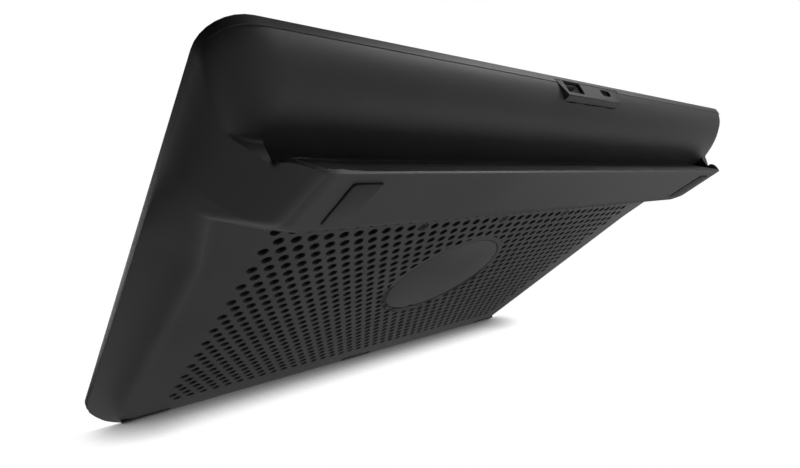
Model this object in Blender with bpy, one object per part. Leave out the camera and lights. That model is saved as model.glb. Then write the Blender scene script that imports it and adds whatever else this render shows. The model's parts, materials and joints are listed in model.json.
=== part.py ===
"""Laptop cooling pad for 17-inch notebooks: a perforated bottom shell with a rolled rear edge and a
wedge-shaped rear foot, a top cover that carries the laptop, and one slim fan between them.

Everything is laid out in the pad's own frame, in millimetres: X across, Y to the rear, Z up, with the
floor's underside at Z = 0 and the fan's axis through the origin. The empty "pad_frame" then stands the
pad on its feet on the desk, which tilts it forwards.
"""

import math

import bmesh
import bpy
from mathutils import Vector

MM = 0.001
GAP = 0.3

# Driving dimensions. The air holes' spacing sets the plan, as the moulding is laid out on that grid.
PITCH = 8.0
RIM_HALF_WIDTH = 23.5 * PITCH
FLOOR_HALF_WIDTH = 21.4 * PITCH
FOOT_HALF_WIDTH = 20.4 * PITCH
FRONT_RIM = -15.9 * PITCH
FRONT_EDGE = -15.85 * PITCH
FOOT_FRONT = 11.4 * PITCH
ROLL_START = 13.6 * PITCH
ROLL_CENTRE = 22.7
REAR = 17.75 * PITCH
LIP_TIP = 15.65 * PITCH
FOOT_SLOPE = 0.0653
FOOT_AT_AXIS = -9.245
TOP_AT_AXIS = 19.1
TOP_SLOPE = 0.034
WALL = 2.2
COVER = 1.5
SKIRT = 3.9
FOOT_DROP = 0.6
CORNER = {"rear": 14.0, "front": 16.0}

# Fan
FAN_OUTER = 57.8
FAN_BASE = 3.7
FAN_TOP = 13.7
FAN_LUG = 2.5
FAN_SCREW_RADIUS = 61.5
FAN_BORE = 55.6
BLADE_TIP = 54.2
STRUT_TURN = 20.0
HUB_OUTER = 22.5
BLADES = 9
POLES = 4

# Underside furniture
HUB_COVER_RADIUS = 5.0 * PITCH
FRONT_FOOT = {"length": 28.0, "depth": 4.6, "y": -122.4, "centres": (-19.7 * PITCH, 0.0, 19.7 * PITCH)}
REAR_PAD = {"width": 12.2, "length": 24.0, "x": 142.6, "y": 108.4}
PAD_POCKET = 1.5
STOP = {"length": 60.0, "width": 8.0, "height": 3.0, "x": 90.0, "y": -115.0}
STOP_POCKET = 0.6
COVER_OPENING = 11.0
HEAD_HOLE = 3.0
SHANK_HOLE = 1.8
BOSS_REACH = 2.0
BORE_REACH = 9.0
BEZEL_HALF_WIDTH = 24.0
BEZEL_LOW = 12.8
BEZEL_HIGH = 21.5
USB_A = {"x": 15.6, "z": 18.2, "width": 13.1, "height": 5.7, "depth": 13.6}
MICRO_USB = {"x": -14.0, "z": 18.2, "width": 7.8, "height": 3.0, "depth": 5.6}
BOARD_Y = 126.0
BOARD_SCREWS = ((-21.2, 17.1), (0.5, 17.1))


def top_height(y):
    """Height of the laptop rest above the floor's underside."""
    return TOP_AT_AXIS + TOP_SLOPE * y


def foot_bottom(y):
    """Height of the rear foot's underside."""
    return FOOT_AT_AXIS - FOOT_SLOPE * y


DESK_SLOPE = -foot_bottom(REAR_PAD["y"]) / (REAR_PAD["y"] - FRONT_FOOT["y"])


def desk_height(y):
    """Height of the desk, which the rubber feet reach below the floor and the rear foot."""
    return -FOOT_DROP - DESK_SLOPE * (y - FRONT_FOOT["y"])


# ---------------------------------------------------------------- scene, materials and helpers

for leftover in list(bpy.data.objects):
    bpy.data.objects.remove(leftover, do_unlink=True)

pad_frame = bpy.data.objects.new("pad_frame", None)
bpy.context.scene.collection.objects.link(pad_frame)


def make_material(name, colour, roughness, metallic=0.0):
    material = bpy.data.materials.new(name)
    material.use_nodes = True
    shader = material.node_tree.nodes["Principled BSDF"]
    shader.inputs["Base Color"].default_value = (*colour, 1.0)
    shader.inputs["Roughness"].default_value = roughness
    shader.inputs["Metallic"].default_value = metallic
    return material


SHELL_PLASTIC = make_material("shell_plastic", (0.022, 0.022, 0.023), 0.55)
FAN_PLASTIC = make_material("fan_plastic", (0.018, 0.018, 0.018), 0.4)
FOOT_RUBBER = make_material("foot_rubber", (0.012, 0.012, 0.012), 0.85)
STEEL = make_material("steel", (0.6, 0.6, 0.61), 0.3, 1.0)
BRASS = make_material("bronze", (0.62, 0.42, 0.18), 0.35, 1.0)
MAGNET = make_material("magnet", (0.05, 0.05, 0.055), 0.6)
COPPER = make_material("coil_wire", (0.72, 0.32, 0.14), 0.35, 1.0)
BOARD_GREEN = make_material("circuit_board", (0.02, 0.13, 0.05), 0.45)
INSULATION = make_material("white_insulation", (0.75, 0.74, 0.7), 0.5)
CONTACT_PLASTIC = make_material("contact_plastic", (0.02, 0.02, 0.02), 0.5)


def link(name, mesh, material, helper=False):
    mesh.materials.append(material)
    obj = bpy.data.objects.new(name, mesh)
    bpy.context.scene.collection.objects.link(obj)
    obj.parent = pad_frame
    if helper:
        obj.hide_render = True
        obj.display_type = "WIRE"
    return obj


def solid(name, pieces, material=SHELL_PLASTIC, helper=False, smooth=None):
    """One object from closed pieces, each a (points, faces) pair in millimetres."""
    work = bmesh.new()
    for points, faces in pieces:
        corners = [work.verts.new(Vector(point) * MM) for point in points]
        for face in faces:
            work.faces.new([corners[index] for index in face])
    bmesh.ops.recalc_face_normals(work, faces=work.faces)
    mesh = bpy.data.meshes.new(name)
    work.to_mesh(mesh)
    work.free()
    if smooth:
        mesh.shade_smooth()
        mesh.set_sharp_from_angle(angle=math.radians(smooth))
    return link(name, mesh, material, helper)


def loft(rings):
    """A closed piece through rings that have equally many points."""
    count = len(rings[0])
    points = [point for ring in rings for point in ring]
    faces = [tuple(range(count)), tuple(range(len(points) - count, len(points)))]
    for level in range(len(rings) - 1):
        low, high = level * count, (level + 1) * count
        for index in range(count):
            following = (index + 1) % count
            faces.append((low + index, low + following, high + following, high + index))
    return points, faces


def rectangle(centre, half_x, half_y):
    corners = ((-1, -1), (1, -1), (1, 1), (-1, 1))
    return [(centre[0] + x * half_x, centre[1] + y * half_y) for x, y in corners]


def prism(outline, low, high):
    """A plan outline carried from height low to height high, which may depend on y."""
    low_at = low if callable(low) else lambda y: low
    high_at = high if callable(high) else lambda y: high
    return loft([[(x, y, at(y)) for x, y in outline] for at in (low_at, high_at)])


def across(outline, low, high):
    """A side outline of (y, z) points carried from X = low to X = high."""
    return loft([[(x, y, z) for y, z in outline] for x in (low, high)])


def box(low, high):
    (x0, y0, z0), (x1, y1, z1) = low, high
    return prism(rectangle(((x0 + x1) / 2, (y0 + y1) / 2), (x1 - x0) / 2, (y1 - y0) / 2), z0, z1)


def circle(radius, sides, centre=(0.0, 0.0), turn=0.0):
    steps = [turn + math.tau * index / sides for index in range(sides)]
    return [(centre[0] + radius * math.cos(a), centre[1] + radius * math.sin(a)) for a in steps]


def disc(radius, low, high, centre=(0.0, 0.0), sides=24, turn=0.0):
    return prism(circle(radius, sides, centre, turn), low, high)


def tube(outer, inner, low, high, sides=32):
    """A closed ring with a square section."""
    section = ((outer, low), (outer, high), (inner, high), (inner, low))
    points, faces = [], []
    for x, y in circle(1.0, sides):
        points += [(r * x, r * y, z) for r, z in section]
    for index in range(sides):
        here, there = 4 * index, 4 * ((index + 1) % sides)
        for corner in range(4):
            after = (corner + 1) % 4
            faces.append((here + corner, here + after, there + after, there + corner))
    return points, faces


def rounded_rectangle(half_x, low_y, high_y, radius_low, radius_high, steps=5):
    outline = []
    corners = (
        (half_x, high_y, radius_high, 0.0),
        (-half_x, high_y, radius_high, 90.0),
        (-half_x, low_y, radius_low, 180.0),
        (half_x, low_y, radius_low, 270.0),
    )
    for x, y, radius, start in corners:
        centre_x = x - math.copysign(radius, x)
        centre_y = y - radius if y == high_y else y + radius
        for step in range(steps + 1):
            angle = math.radians(start + 90.0 * step / steps)
            outline.append((centre_x + radius * math.cos(angle), centre_y + radius * math.sin(angle)))
    return outline


def boolean(target, operation, name, pieces):
    helper = solid(f"{target.name}_{name}", pieces, helper=True)
    modifier = target.modifiers.new(name, "BOOLEAN")
    modifier.operation = operation
    modifier.solver = "EXACT"
    modifier.object = helper


def hex_sites(spacing, low, high):
    """Centres of a triangular grid with one row through Y = 0, inside a rectangle."""
    row_step = spacing * math.sqrt(3) / 2
    sites = []
    for row in range(math.ceil(low[1] / row_step), math.floor(high[1] / row_step) + 1):
        shift = 0.5 if row % 2 == 0 else 0.0
        columns = int(high[0] / spacing + 1)
        for column in range(-columns, columns + 1):
            x = (column + shift) * spacing
            if low[0] <= x <= high[0]:
                sites.append((x, row * row_step))
    return sites


# ---------------------------------------------------------------- shells


def flank_x(y, z, inset):
    """Half width of the body at height z: the flank leans out from the floor, or the foot, to the rim."""
    rim_z = top_height(y) - SKIRT
    blend = min(max((y - 8.0 * PITCH) / (FOOT_FRONT - 8.0 * PITCH), 0.0), 1.0)
    base_z = blend * foot_bottom(FOOT_FRONT)
    base_x = FLOOR_HALF_WIDTH + blend * (FOOT_HALF_WIDTH - FLOOR_HALF_WIDTH)
    share = (rim_z - z) / (rim_z - base_z)
    return RIM_HALF_WIDTH - share ** (1.0 + 0.8 * blend) * (RIM_HALF_WIDTH - base_x) - inset


def roll_point(degrees, inset):
    """A point of the rolled rear edge, from the level floor (0) to the upright rear face (90)."""
    angle = math.radians(degrees)
    y = ROLL_START + (REAR - ROLL_START - inset) * math.sin(angle)
    return y, ROLL_CENTRE - (ROLL_CENTRE - inset) * math.cos(angle)


def body_loft(inset, above):
    """The body without its foot, as cross sections from front to rear."""
    front_top = top_height(FRONT_RIM) - SKIRT - GAP
    stations = [(FRONT_RIM + inset, front_top - 3.0), (FRONT_EDGE + inset, inset)]
    stations += [(y, inset) for y in (8.0 * PITCH, FOOT_FRONT)]
    stations += [roll_point(degrees, inset) for degrees in (0, 15, 30, 45, 58, 70, 80)]
    rings = []
    for y, low in stations:
        high = top_height(y) - SKIRT - GAP + above
        rim = max(top_height(y) - SKIRT - 0.5, low + 0.4)
        right = [(flank_x(y, z, inset), z) for z in (low, (low + rim) / 2, rim)]
        right.append((RIM_HALF_WIDTH - inset, max(high, rim + 0.1)))
        ring = [(x, y, z) for x, z in right] + [(-x, y, z) for x, z in reversed(right)]
        rings.append(ring)
    return loft(rings)


def foot_piece():
    """The wedge-shaped rear foot, with its lip below the cable groove."""
    side = [
        (FOOT_FRONT - 1.2, 1.2),
        (FOOT_FRONT, foot_bottom(FOOT_FRONT)),
        (LIP_TIP, foot_bottom(LIP_TIP)),
        (LIP_TIP - 0.6, foot_bottom(LIP_TIP) + 1.4),
        (ROLL_START + 4.0, -8.6),
        (ROLL_START, -5.6),
        (ROLL_START, 1.2),
    ]
    ends = []
    for sign in (-1, 1):
        ends.append([(sign * flank_x(FOOT_FRONT, z, 0.0), y, z) for y, z in side])
    return loft(ends)


def foot_hollow():
    side = [
        (FOOT_FRONT + 2.4, 4.0),
        (FOOT_FRONT + 2.4, -11.2),
        (ROLL_START + 1.0, -12.2),
        (ROLL_START - 2.4, -6.4),
        (ROLL_START - 2.4, 4.0),
    ]
    return across(side, -FOOT_HALF_WIDTH + 8.0, FOOT_HALF_WIDTH - 8.0)


CASE_SCREWS = [(side * REAR_PAD["x"], REAR_PAD["y"] - 7.5) for side in (-1, 1)]
CASE_SCREWS += [(x, 9 * PITCH * math.sqrt(3) / 2) for x in (-8 * PITCH, 0.0, 8 * PITCH)]
FAN_SCREWS = circle(FAN_SCREW_RADIUS, 4, turn=math.radians(45))


def screw_seat(x, y):
    """Height of the underside of a case screw's head."""
    return foot_bottom(y) + 2.9 if y > FOOT_FRONT else 1.3


def front_foot_outline(x, grow):
    return rectangle((x, FRONT_FOOT["y"]), FRONT_FOOT["length"] / 2 + grow, FRONT_FOOT["depth"] / 2 + grow)


def rear_pad_outline(side, grow):
    centre = (side * REAR_PAD["x"], REAR_PAD["y"])
    return rectangle(centre, REAR_PAD["width"] / 2 + grow, REAR_PAD["length"] / 2 + grow)


def stop_outline(side, grow):
    centre = (side * STOP["x"], STOP["y"])
    return rectangle(centre, STOP["length"] / 2 + grow, STOP["width"] / 2 + grow)


def grille_sites():
    """Coarse grid of air openings, clear of the hub cover and of the screws."""
    spacing = 3 * PITCH
    sites = hex_sites(spacing, (-18 * PITCH, -12.5 * PITCH), (18 * PITCH, 8.2 * PITCH))
    screws = [*FAN_SCREWS, *CASE_SCREWS]
    clear = []
    for site in sites:
        if math.hypot(*site) < HUB_COVER_RADIUS + 11.0:
            continue
        if all(math.dist(site, screw) > 13.5 for screw in screws):
            clear.append(site)
    return clear


def plan_outline(inset):
    """The pad's plan, a rectangle with round corners, moved inwards by the inset."""
    return rounded_rectangle(
        RIM_HALF_WIDTH - inset,
        FRONT_RIM + inset,
        REAR - inset,
        CORNER["front"] - inset,
        CORNER["rear"] - inset,
    )


def screw_bosses():
    bosses = [disc(4.5, 1.0, 3.4, centre, 12) for centre in FAN_SCREWS]
    for x, y in CASE_SCREWS:
        seat = screw_seat(x, y)
        if y < FOOT_FRONT:
            bosses.append(disc(5.0, seat - 1.0, seat + BOSS_REACH, (x, y), 12))
    return bosses


def foot_pockets():
    """Shallow pockets that hold the rubber feet."""
    pockets = []
    for x in FRONT_FOOT["centres"]:
        pockets.append(prism(front_foot_outline(x, GAP), -3.0, 1.0))
    for side in (-1, 1):
        pockets.append(prism(rear_pad_outline(side, GAP), -30.0, lambda at: foot_bottom(at) + PAD_POCKET))
    return pockets


def build_lower_shell():
    shell = solid("lower_shell", [body_loft(0.0, 0.0)])
    boolean(shell, "UNION", "foot", [foot_piece()])
    boolean(shell, "INTERSECT", "plan", [prism(plan_outline(0.0), -40.0, 40.0)])
    hollow = solid("lower_shell_cavity", [body_loft(WALL, 6.0)], helper=True)
    boolean(hollow, "INTERSECT", "inner", [prism(plan_outline(WALL), -40.0, 40.0)])
    cavity = shell.modifiers.new("cavity", "BOOLEAN")
    cavity.operation, cavity.solver, cavity.object = "DIFFERENCE", "EXACT", hollow
    boolean(shell, "DIFFERENCE", "foot_cavity", [foot_hollow()])
    boolean(shell, "UNION", "bosses", [disc(HUB_COVER_RADIUS + 3.0, 1.0, 3.4, sides=48), *screw_bosses()])
    cuts = [disc(7.0, -1.0, 4.0, site, 6, math.radians(30)) for site in grille_sites()]
    cuts.append(disc(HUB_COVER_RADIUS + 0.4, -1.0, 1.5, sides=48))
    seats = [(x, y, screw_seat(x, y)) for x, y in CASE_SCREWS]
    cuts += [disc(HEAD_HOLE, seat - 12.0, seat, (x, y), 12) for x, y, seat in seats]
    boolean(shell, "DIFFERENCE", "holes", cuts)
    shanks = [disc(SHANK_HOLE, seat - 1.0, seat + BORE_REACH, (x, y), 12) for x, y, seat in seats]
    shanks += [disc(SHANK_HOLE, 1.2, BORE_REACH, centre, 12) for centre in FAN_SCREWS]
    boolean(shell, "DIFFERENCE", "shank_holes", shanks)
    wide = BEZEL_HALF_WIDTH + GAP
    port = box((-wide, REAR - 9.0, BEZEL_LOW - GAP), (wide, REAR + 8.0, 30.0))
    boolean(shell, "DIFFERENCE", "pockets", [*foot_pockets(), port])


def cover_posts():
    """Posts under the cover, which the case screws bite into."""
    posts = []
    for x, y in CASE_SCREWS:
        low = screw_seat(x, y) + (BOSS_REACH if y < FOOT_FRONT else BOSS_REACH + 1.0) + GAP
        posts.append(prism(circle(3.6, 12, (x, y)), low, lambda at: top_height(at) - 0.7))
    return posts


def build_top_cover():
    cover = solid("top_cover", [prism(plan_outline(0.0), lambda y: top_height(y) - SKIRT, top_height)])
    boolean(cover, "DIFFERENCE", "tray", [prism(plan_outline(WALL), -5.0, lambda y: top_height(y) - COVER)])
    boolean(cover, "UNION", "posts", cover_posts())
    cuts = [disc(1.7, -30.0, screw_seat(x, y) + BORE_REACH, (x, y), 12) for x, y in CASE_SCREWS]
    for x, y in hex_sites(4 * PITCH, (-19 * PITCH, -11 * PITCH), (19 * PITCH, 13 * PITCH)):
        if all(math.dist((x, y), screw) > 2 * PITCH for screw in CASE_SCREWS):
            cuts.append(prism(circle(COVER_OPENING, 6, (x, y), math.radians(30)), 10.0, 40.0))
    for side in (-1, 1):
        cuts.append(prism(stop_outline(side, GAP), lambda y: top_height(y) - STOP_POCKET, 40.0))
    wide = BEZEL_HALF_WIDTH + GAP
    cuts.append(box((-wide, REAR - 7.0, -5.0), (wide, REAR + 5.0, BEZEL_HIGH + GAP)))
    boolean(cover, "DIFFERENCE", "openings", cuts)
    low = (USB_A["x"] - 7.0, BOARD_Y + 0.5, 5.0)
    high = (USB_A["x"] + 7.0, REAR - 6.5, USB_A["z"] + USB_A["height"] / 2 + GAP)
    boolean(cover, "DIFFERENCE", "socket_relief", [box(low, high)])


# ---------------------------------------------------------------- feet, cover disc and screws


def build_feet():
    for name, x in zip(("left", "centre", "right"), FRONT_FOOT["centres"]):
        piece = prism(front_foot_outline(x, 0.0), desk_height, 1.0 - GAP)
        solid(f"front_foot_{name}", [piece], FOOT_RUBBER)
    for name, side in (("left", -1), ("right", 1)):
        piece = prism(rear_pad_outline(side, 0.0), desk_height, lambda y: foot_bottom(y) + PAD_POCKET - GAP)
        solid(f"rear_pad_{name}", [piece], FOOT_RUBBER)
        low, high = STOP_POCKET - GAP, STOP["height"]
        piece = prism(stop_outline(side, 0.0), lambda y: top_height(y) - low, lambda y: top_height(y) + high)
        solid(f"laptop_stop_{name}", [piece], FOOT_RUBBER)


def build_hub_cover():
    cover = solid("hub_cover", [disc(HUB_COVER_RADIUS, 0.0, 1.2, sides=48)])
    boolean(cover, "DIFFERENCE", "notch", [box((-2.0, -HUB_COVER_RADIUS - 1.0, -1.0), (2.0, -38.2, 2.0))])


def screw(name, centre, seat, way, reach):
    """A pan-head screw whose head rests under (way 1) or on (way -1) its seat, with a cross recess."""
    heights = sorted((seat - way * GAP, seat - way * (GAP + 1.0)))
    piece = solid(name, [disc(2.5, *heights, centre, 16)], STEEL, smooth=40)
    heights = sorted((seat - way * (GAP + 0.3), seat + way * reach))
    boolean(piece, "UNION", "shank", [disc(1.3, *heights, centre, 10)])
    heights = sorted((seat - way * (GAP + 2.0), seat - way * (GAP + 0.5)))
    (x, y), (low, high) = centre, heights
    boolean(piece, "DIFFERENCE", "slot", [box((x - 1.3, y - 0.3, low), (x + 1.3, y + 0.3, high))])
    boolean(piece, "DIFFERENCE", "cross", [box((x - 0.3, y - 1.3, low), (x + 0.3, y + 1.3, high))])


def build_screws():
    for number, centre in enumerate(FAN_SCREWS, 1):
        screw(f"fan_screw_{number}", centre, FAN_BASE + FAN_LUG, -1, 4.4)
    for number, (x, y) in enumerate(CASE_SCREWS, 1):
        screw(f"case_screw_{number}", (x, y), screw_seat(x, y), 1, 7.5)


# ---------------------------------------------------------------- fan


def turned(piece, degrees):
    """The piece turned about the fan's axis."""
    cosine, sine = math.cos(math.radians(degrees)), math.sin(math.radians(degrees))
    points, faces = piece
    return [(x * cosine - y * sine, x * sine + y * cosine, z) for x, y, z in points], faces


def build_fan_frame():
    frame = solid("fan_frame", [tube(FAN_OUTER, FAN_BORE, FAN_BASE, FAN_TOP, 64)], FAN_PLASTIC)
    lugs = []
    for centre in FAN_SCREWS:
        lugs.append(disc(4.2, FAN_BASE, FAN_BASE + FAN_LUG, centre, 16))
    boolean(frame, "UNION", "lugs", lugs)
    boolean(frame, "UNION", "base", [disc(HUB_OUTER, FAN_BASE, FAN_BASE + 1.5, sides=32)])
    bar = box((HUB_OUTER - 2.0, -4.0, FAN_BASE), (FAN_BORE + 1.0, 4.0, FAN_BASE + 1.5))
    boolean(frame, "UNION", "struts", [turned(bar, STRUT_TURN + 90 * index) for index in range(4)])
    boolean(frame, "UNION", "bearing_tube", [disc(5.0, FAN_BASE + 0.5, 10.4, sides=24)])
    cuts = [disc(3.3, 4.4, 12.0, sides=24)]
    cuts += [disc(1.8, 0.0, 20.0, centre, 12) for centre in FAN_SCREWS]
    cuts.append(turned(box((13.0, -1.1, 3.95), (FAN_OUTER + 1.0, 1.1, 6.0)), STRUT_TURN + 90))
    boolean(frame, "DIFFERENCE", "holes", cuts)


def blade(number):
    """One swept blade: thin plates that lean more steeply near the hub, joined from root to tip."""
    rings = []
    for step in range(4):
        share = step / 3
        radius = HUB_OUTER - 1.0 + share * (BLADE_TIP - HUB_OUTER + 1.0)
        lean = math.radians(42.0 - 14.0 * share)
        chord = min(7.0 + 12.0 * share, 6.2 / math.sin(lean))
        middle = math.tau * number / BLADES - math.radians(24.0) * share
        ring = []
        for along, lift in ((-1, -0.5), (1, -0.5), (1, 0.5), (-1, 0.5)):
            sideways = along * chord / 2 * math.cos(lean) - lift * math.sin(lean)
            height = 9.6 + along * chord / 2 * math.sin(lean) + lift * math.cos(lean)
            angle = middle + sideways / radius
            ring.append((radius * math.cos(angle), radius * math.sin(angle), height))
        rings.append(ring)
    return loft(rings)


def build_rotor():
    rotor = solid("rotor", [disc(HUB_OUTER, 6.2, FAN_TOP - 0.2, sides=48)], FAN_PLASTIC)
    boolean(rotor, "UNION", "blades", [blade(number) for number in range(BLADES)])
    boolean(rotor, "DIFFERENCE", "cup", [disc(HUB_OUTER - 1.2, 5.0, 12.1, sides=48)])
    boolean(rotor, "UNION", "shaft_boss", [disc(3.4, 11.3, 12.6, sides=16)])
    boolean(rotor, "DIFFERENCE", "shaft_bore", [disc(1.8, 10.0, 12.3, sides=16)])
    yoke = solid("rotor_yoke", [disc(21.0, 6.4, 11.8, sides=48)], STEEL, smooth=40)
    boolean(yoke, "DIFFERENCE", "inside", [disc(20.2, 5.0, 11.2, sides=48)])
    boolean(yoke, "DIFFERENCE", "centre", [disc(4.2, 5.0, 14.0, sides=24)])
    solid("magnet_ring", [tube(19.9, 17.9, 6.5, 10.9, 40)], MAGNET, smooth=40)
    solid("shaft", [disc(1.5, 4.8, 12.0, sides=16)], STEEL, smooth=40)
    solid("retaining_clip", [tube(2.8, 1.8, 4.8, 5.2, 16)], STEEL)


def pole_angle(pole):
    return 360.0 * (pole + 0.5) / POLES


def build_motor():
    solid("bearing_sleeve", [tube(3.0, 1.8, 5.5, 10.3, 24)], BRASS, smooth=40)
    core = solid("stator_core", [tube(8.0, 5.3, 7.6, 10.0, 32)], STEEL)
    arms = []
    for pole in range(POLES):
        arm = box((7.0, -2.0, 7.6), (15.8, 2.0, 10.0))
        arms.append(turned(arm, pole_angle(pole)))
    boolean(core, "UNION", "arms", arms)
    shoes = []
    for pole in range(POLES):
        spread = [math.radians(-32 + 64 * step / 6) for step in range(7)]
        outline = [(17.3 * math.cos(a), 17.3 * math.sin(a)) for a in spread]
        outline += [(15.3 * math.cos(a), 15.3 * math.sin(a)) for a in reversed(spread)]
        shoes.append(turned(prism(outline, 7.6, 10.0), pole_angle(pole)))
    boolean(core, "UNION", "shoes", shoes)
    for pole in range(POLES):
        angle = pole_angle(pole)
        winding, window = box((9.0, -4.2, 6.6), (13.4, 4.2, 11.0)), box((8.0, -2.3, 7.3), (14.4, 2.3, 10.3))
        coil = solid(f"coil_{pole + 1}", [turned(winding, angle)], COPPER)
        boolean(coil, "DIFFERENCE", "window", [turned(window, angle)])
    solid("motor_board", [tube(17.0, 5.4, 5.5, 6.2, 32)], BOARD_GREEN)


# ---------------------------------------------------------------- ports, hub board and lead


def socket_solid(name, spec, wall):
    """A drawn metal socket shell: open to the rear, closed behind."""
    x, z, wide, high = spec["x"], spec["z"], spec["width"] / 2, spec["height"] / 2
    front, back = REAR - 0.5, REAR - 0.5 - spec["depth"]
    shell = solid(name, [box((x - wide, back, z - high), (x + wide, front, z + high))], STEEL)
    low = (x - wide + wall, back + 1.0, z - high + wall)
    high_corner = (x + wide - wall, front + 1.0, z + high - wall)
    boolean(shell, "DIFFERENCE", "mouth", [box(low, high_corner)])


def build_bezel():
    inner = REAR - 6.0
    block = box((-BEZEL_HALF_WIDTH, inner, BEZEL_LOW), (BEZEL_HALF_WIDTH, REAR, BEZEL_HIGH))
    bezel = solid("port_bezel", [block])
    for number, (x, z) in enumerate(BOARD_SCREWS, 1):
        post = box((x - 2.4, BOARD_Y + 1.9, z - 2.4), (x + 2.4, inner + 0.8, z + 2.4))
        boolean(bezel, "UNION", f"post_{number}", [post])
    for name, spec in (("usb_a", USB_A), ("micro_usb", MICRO_USB)):
        x, z, wide, high = spec["x"], spec["z"], spec["width"] / 2 + GAP, spec["height"] / 2 + GAP
        mouth = box((x - wide, inner - 1.0, z - high), (x + wide, REAR + 1.0, z + high))
        boolean(bezel, "DIFFERENCE", f"{name}_mouth", [mouth])
    boolean(bezel, "DIFFERENCE", "bores", [rear_disc(1.3, x, z, BOARD_Y, inner) for x, z in BOARD_SCREWS])


def tongue(name, spec, half_width, low, high, recess):
    """The contact carrier inside a socket."""
    x, z = spec["x"], spec["z"]
    back = REAR - 0.5 - spec["depth"] + 1.0 + GAP
    piece = box((x - half_width, back, z + low), (x + half_width, REAR - recess, z + high))
    solid(name, [piece], CONTACT_PLASTIC)


def build_ports():
    build_bezel()
    socket_solid("usb_a_shell", USB_A, 0.4)
    tongue("usb_a_tongue", USB_A, 5.4, -1.9, -0.1, 2.6)
    socket_solid("micro_usb_shell", MICRO_USB, 0.35)
    tongue("micro_usb_tongue", MICRO_USB, 2.3, -0.3, 0.3, 1.6)


def rear_disc(radius, x, z, low_y, high_y, sides=10):
    """A round bar along Y."""
    return loft([[(cx, y, cz) for cx, cz in circle(radius, sides, (x, z))] for y in (low_y, high_y)])


def build_board():
    board = solid("hub_board", [box((-23.0, BOARD_Y, 7.4), (23.4, BOARD_Y + 1.6, 20.3))], BOARD_GREEN)
    holes = [rear_disc(1.6, x, z, BOARD_Y - 1, BOARD_Y + 3) for x, z in BOARD_SCREWS]
    boolean(board, "DIFFERENCE", "holes", holes)
    for number, (x, z) in enumerate(BOARD_SCREWS, 1):
        head = rear_disc(2.0, x, z, BOARD_Y - 1.4, BOARD_Y - GAP, 14)
        piece = solid(f"board_screw_{number}", [head], STEEL, smooth=40)
        boolean(piece, "UNION", "shank", [rear_disc(1.0, x, z, BOARD_Y - 0.6, BOARD_Y + 7.0)])
    header = box((-8.0, BOARD_Y - 6.0, 8.4), (-1.4, BOARD_Y - GAP, 13.2))
    piece = solid("fan_header", [header], INSULATION)
    boolean(piece, "DIFFERENCE", "mouth", [box((-7.4, BOARD_Y - 7.0, 9.0), (-2.0, BOARD_Y - 1.2, 12.6))])
    solid("fan_plug", [box((-7.1, BOARD_Y - 8.6, 9.3), (-2.3, BOARD_Y - 1.6, 12.3))], INSULATION)


LEAD_ROUTE = [
    (-4.8, 13.2, 4.62),
    (-10.3, 28.2, 4.62),
    (-15.4, 42.3, 4.62),
    (-20.5, 56.4, 4.62),
    (-24.2, 66.0, 5.0),
    (-26.8, 76.0, 5.6),
    (-26.6, 86.0, 6.0),
    (-22.0, 95.0, 6.8),
    (-14.4, 101.6, 8.4),
    (-8.0, 106.6, 10.2),
    (-5.2, 111.0, 10.8),
    (-4.7, 114.4, 10.8),
    (-4.7, 117.0, 10.8),
]


def smooth_route(route, per_span):
    """Points along a Catmull-Rom curve through the route."""
    ends = [route[0], *route, route[-1]]
    points = []
    for index in range(len(route) - 1):
        a, b, c, d = (Vector(point) for point in ends[index : index + 4])
        for step in range(per_span):
            t = step / per_span
            bend = 2 * b + (c - a) * t + (2 * a - 5 * b + 4 * c - d) * t**2 + (3 * b - a - 3 * c + d) * t**3
            points.append(bend / 2)
    return points + [Vector(route[-1])]


def build_lead():
    curve = bpy.data.curves.new("fan_lead", "CURVE")
    curve.dimensions = "3D"
    curve.bevel_depth = 0.55 * MM
    curve.bevel_resolution = 2
    curve.use_fill_caps = True
    points = smooth_route(LEAD_ROUTE, 4)
    spline = curve.splines.new("POLY")
    spline.points.add(len(points) - 1)
    for target, point in zip(spline.points, points):
        target.co = (*(point * MM), 1.0)
    link("fan_lead", curve, INSULATION)


# ---------------------------------------------------------------- assembly

build_lower_shell()
build_top_cover()
build_feet()
build_hub_cover()
build_screws()
build_fan_frame()
build_rotor()
build_motor()
build_ports()
build_board()
build_lead()

# Stand the pad on the desk. The origin is under the middle of the footprint.
tilt = math.atan(DESK_SLOPE)


def on_desk(y, z):
    """Depth and height, on the desk, of a point of the pad's own frame."""
    return y * math.cos(tilt) - z * math.sin(tilt), y * math.sin(tilt) + z * math.cos(tilt)


front_y = on_desk(FRONT_RIM, top_height(FRONT_RIM))[0]
rear_y = on_desk(REAR, BEZEL_LOW)[0]
desk_z = on_desk(FRONT_EDGE, desk_height(FRONT_EDGE))[1]
pad_frame.location = (0.0, -(front_y + rear_y) / 2 * MM, -desk_z * MM)
pad_frame.rotation_euler = (tilt, 0.0, 0.0)
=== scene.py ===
"""Looks of the laptop cooling pad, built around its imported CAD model.

Shapes are laid out in the pad's own frame, in millimetres: X across, Y to the rear, Z up from the floor's
underside, with the fan's axis through the origin. PAD turns that frame into the model's, in metres.
"""

import json
import math

import bmesh
import bpy
import numpy as np
from mathutils import Matrix, Vector


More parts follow.
